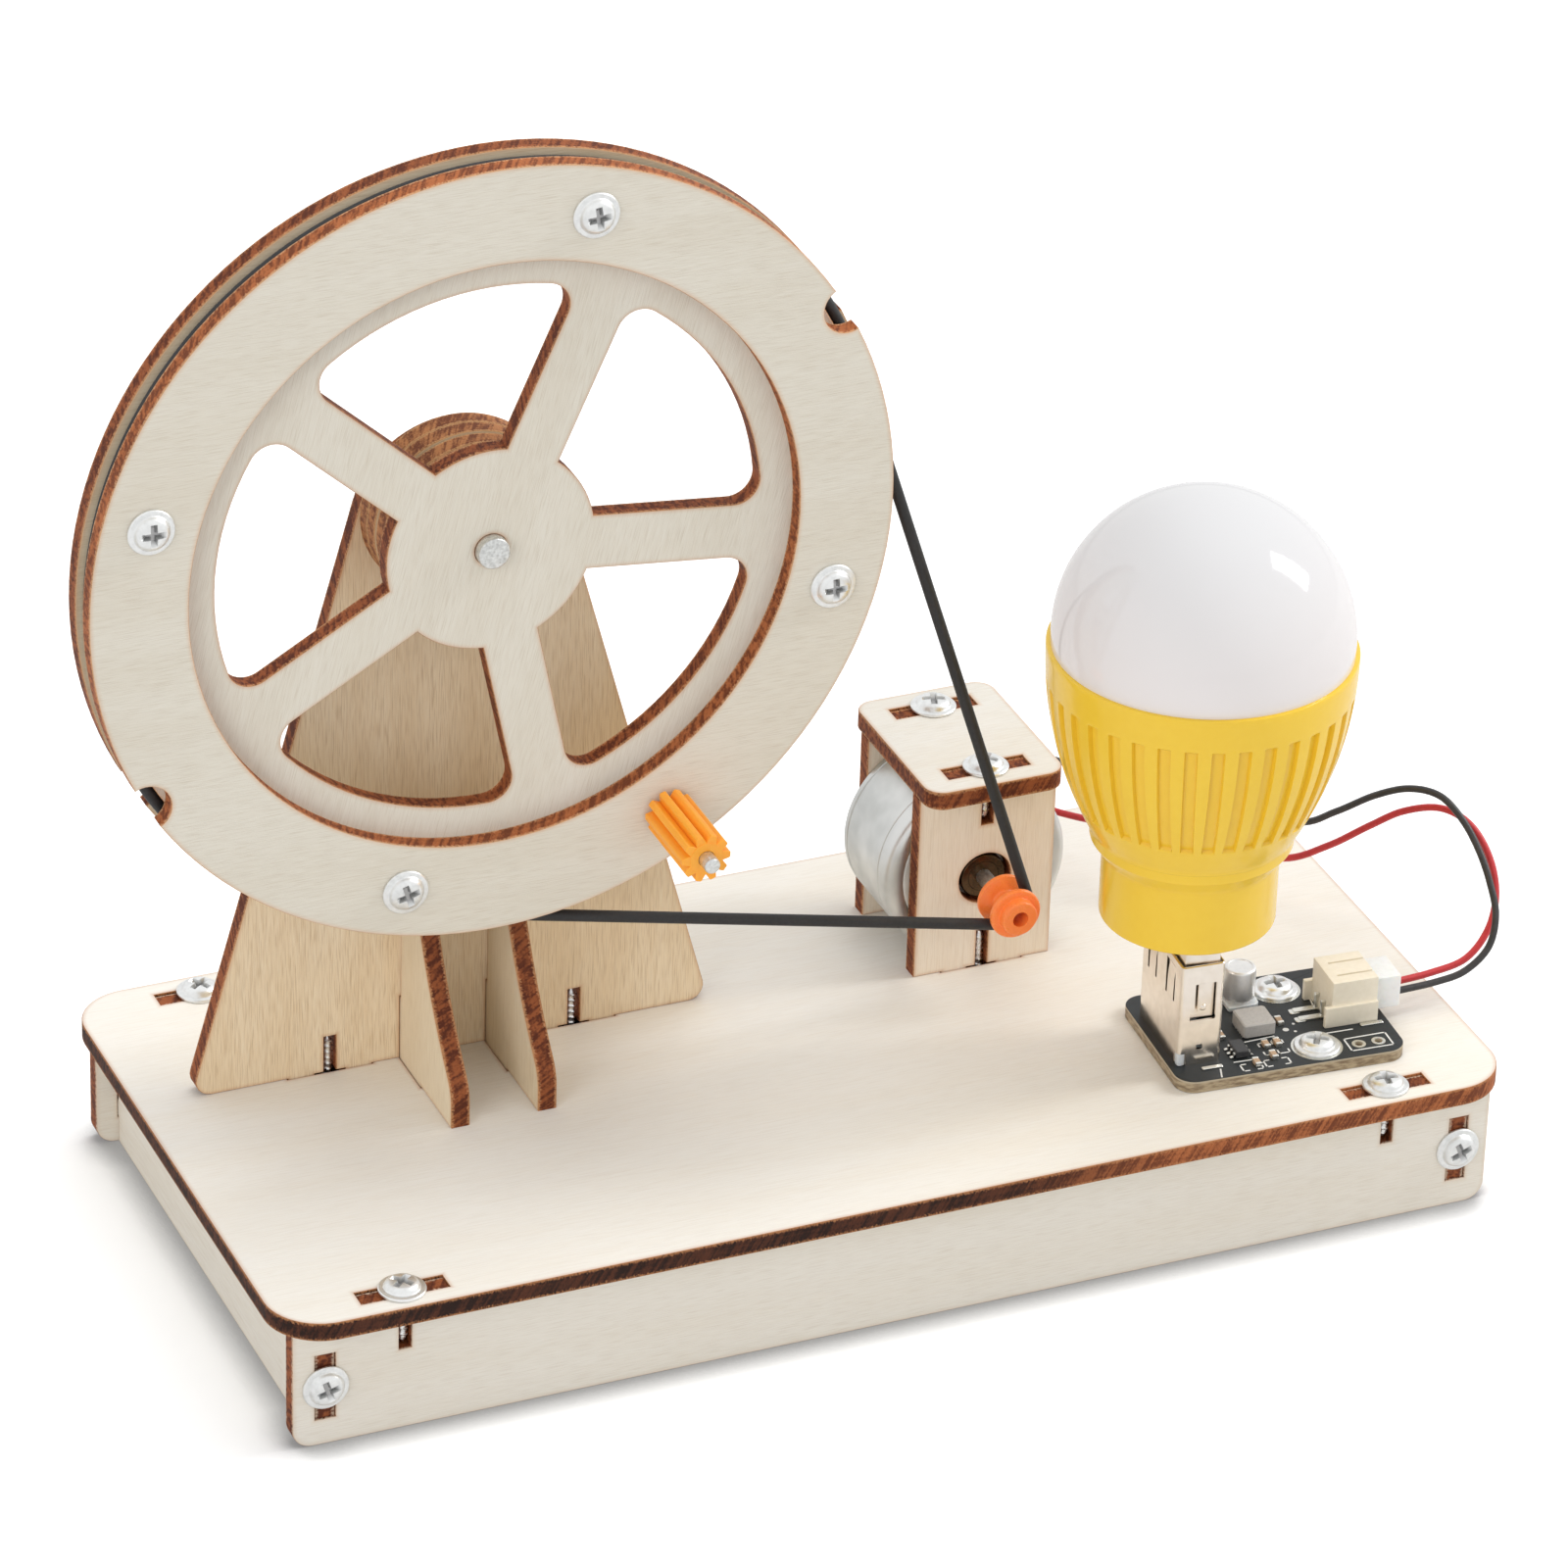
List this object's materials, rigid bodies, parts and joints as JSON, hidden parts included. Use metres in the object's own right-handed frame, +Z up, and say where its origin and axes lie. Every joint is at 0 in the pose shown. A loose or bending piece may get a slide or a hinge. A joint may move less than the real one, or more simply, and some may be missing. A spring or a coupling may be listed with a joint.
{
  "type": "hand crank generator",
  "caption": "Plywood hand crank generator: a spoked wheel with a rim grip drives a small motor by a belt and lights a plug-in bulb on a circuit board.",
  "frame": {"origin": "middle of the base's underside, on the plane that the rails rest on", "axes": "+X along the base from the wheel to the bulb, +Y from the crank side to the back, +Z up"},
  "size_m": [0.18, 0.0786, 0.1443],
  "materials": {
    "plywood": "laser-cut birch plywood, burnt edges",
    "zinc_screw": "bright zinc plated",
    "motor_steel": "plated sheet steel",
    "white_plastic": "white moulded plastic",
    "brass": "brass",
    "ferrite": "dark ferrite",
    "belt_rubber": "matt black rubber",
    "board_resin": "dark solder mask",
    "nickel": "bright nickel plated",
    "aluminium_can": "satin aluminium",
    "black_plastic": "matt black",
    "cream_plastic": "cream moulded plastic",
    "red_sleeve": "red wire sleeve",
    "black_sleeve": "black wire sleeve",
    "steel_rod": "ground steel",
    "grip_plastic": "orange moulded plastic",
    "core_steel": "stacked sheet steel",
    "copper": "copper",
    "orange_plastic": "orange moulded plastic",
    "yellow_plastic": "yellow moulded plastic",
    "dome_plastic": "milk-white diffuser",
    "lamp_resin": "yellow lamp resin"
  },
  "bodies": {
    "frame": {"base_top": "plywood", "front_rail": "plywood", "rear_rail": "plywood", "left_rail": "plywood", "right_rail": "plywood", "base_top_screws": "zinc_screw", "rail_screws": "zinc_screw", "tower_plate": "plywood", "left_gusset": "plywood", "right_gusset": "plywood", "tower_screws": "zinc_screw", "tower_spacer_discs": "plywood", "motor_mount_front": "plywood", "motor_mount_rear": "plywood", "motor_mount_top": "plywood", "motor_mount_top_screws": "zinc_screw", "motor_mount_base_screws": "zinc_screw", "motor_can": "motor_steel", "motor_end_cap": "white_plastic", "motor_bearings": "brass", "motor_magnet": "ferrite", "motor_brushes": "brass", "motor_terminals": "brass", "belt": "belt_rubber", "circuit_board": "board_resin", "board_screws": "zinc_screw", "usb_socket_shell": "nickel", "usb_socket_insert": "white_plastic", "inductor": "ferrite", "capacitor": "aluminium_can", "converter_chip": "black_plastic", "chip_resistors": "black_plastic", "wire_header": "cream_plastic", "header_pins": "brass", "wire_plug": "white_plastic", "red_wire": "red_sleeve", "black_wire": "black_sleeve"},
    "wheel": {"wheel_front_ring": "plywood", "wheel_spoked_disc": "plywood", "wheel_rear_ring": "plywood", "wheel_ring_screws": "zinc_screw", "hub_spacer_discs": "plywood", "wheel_axle": "steel_rod", "axle_collar": "black_plastic", "crank_pin": "steel_rod"},
    "grip": {"crank_grip": "grip_plastic"},
    "rotor": {"motor_shaft": "steel_rod", "motor_armature": "core_steel", "motor_windings": "copper", "motor_commutator": "copper", "drive_pulley": "orange_plastic"},
    "bulb": {"bulb_body": "yellow_plastic", "bulb_dome": "dome_plastic", "lamp_board": "white_plastic", "lamp_chips": "lamp_resin", "bulb_leads": "red_sleeve", "usb_plug_shell": "nickel", "usb_plug_insert": "white_plastic"}
  },
  "joints": [
    {"name": "wheel_spin", "type": "hinge", "parent": "frame", "child": "wheel", "pos_m": [-0.0402, 0, 0.0943], "axis": [0, 1, 0], "continuous": true},
    {"name": "grip_spin", "type": "hinge", "parent": "wheel", "child": "grip", "pos_m": [-0.0182, 0, 0.05619], "axis": [0, 1, 0], "continuous": true},
    {"name": "pulley_spin", "type": "hinge", "parent": "frame", "child": "rotor", "pos_m": [0.0293, 0, 0.031], "axis": [0, 1, 0], "continuous": true},
    {"name": "bulb_unplug", "type": "slide", "parent": "frame", "child": "bulb", "axis": [0, 0, 1], "range_m": [0, 0.012]}
  ],
  "couplings": [
    {"joint": "pulley_spin", "follows": "wheel_spin", "ratio": 18.509}
  ]
}
